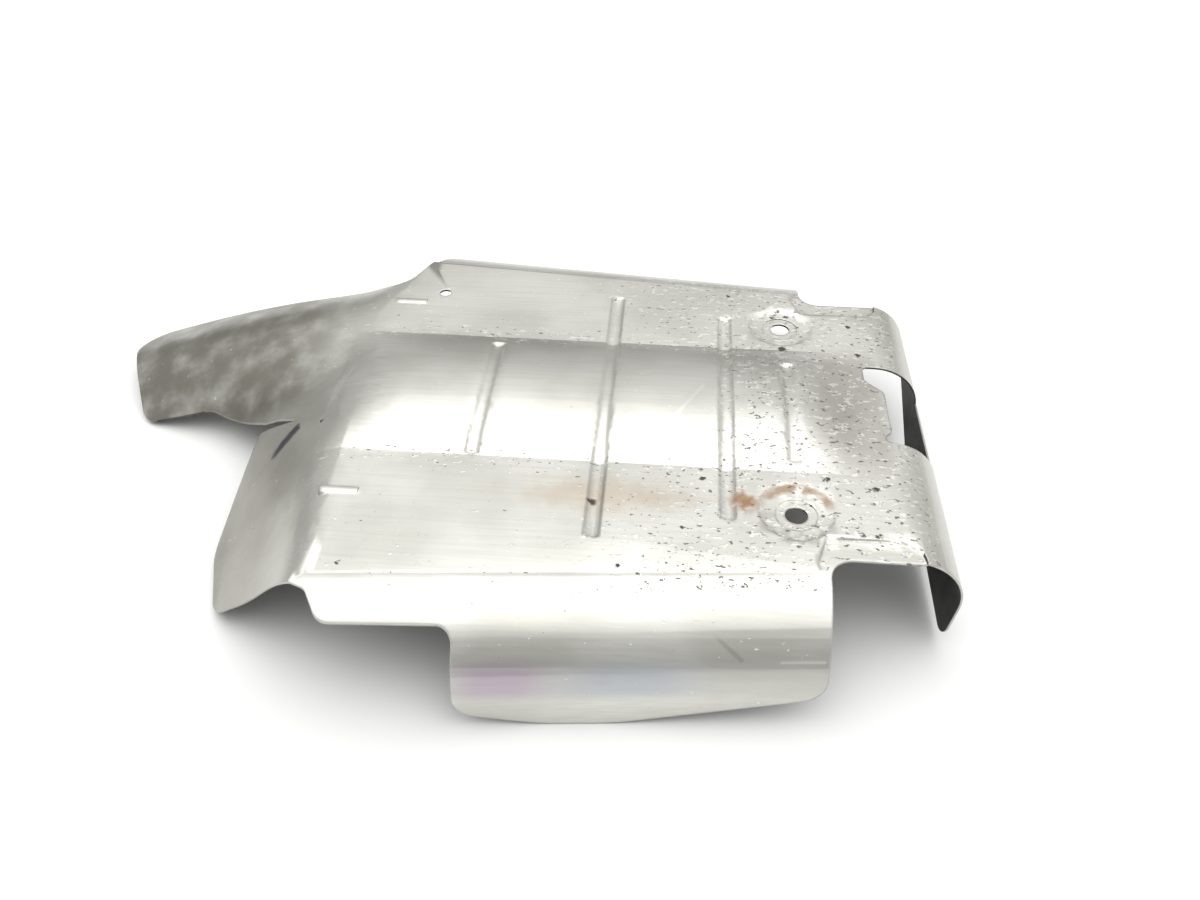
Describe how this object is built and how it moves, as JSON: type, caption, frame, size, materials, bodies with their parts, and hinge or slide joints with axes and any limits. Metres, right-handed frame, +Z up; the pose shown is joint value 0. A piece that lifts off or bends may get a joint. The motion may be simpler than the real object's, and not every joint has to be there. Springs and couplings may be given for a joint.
{
  "type": "heat shield",
  "caption": "Pressed sheet-metal heat shield with curved skirts, a ribbed shallow trough, a folded end flange with a window, and a sloping tongue; bolts down over a hot pipe.",
  "frame": {"origin": "midpoint of the two bolt holes, level with their washer seats", "axes": "+X along the sheet towards the folded end flange, +Y across it towards the tongue side, +Z up, out of the top face"},
  "size_m": [0.3575, 0.2434, 0.0454],
  "materials": {
    "sheet": "satin aluminised steel, stained and pitted"
  },
  "bodies": {
    "root": {"heat_shield": "sheet"}
  },
  "joints": []
}
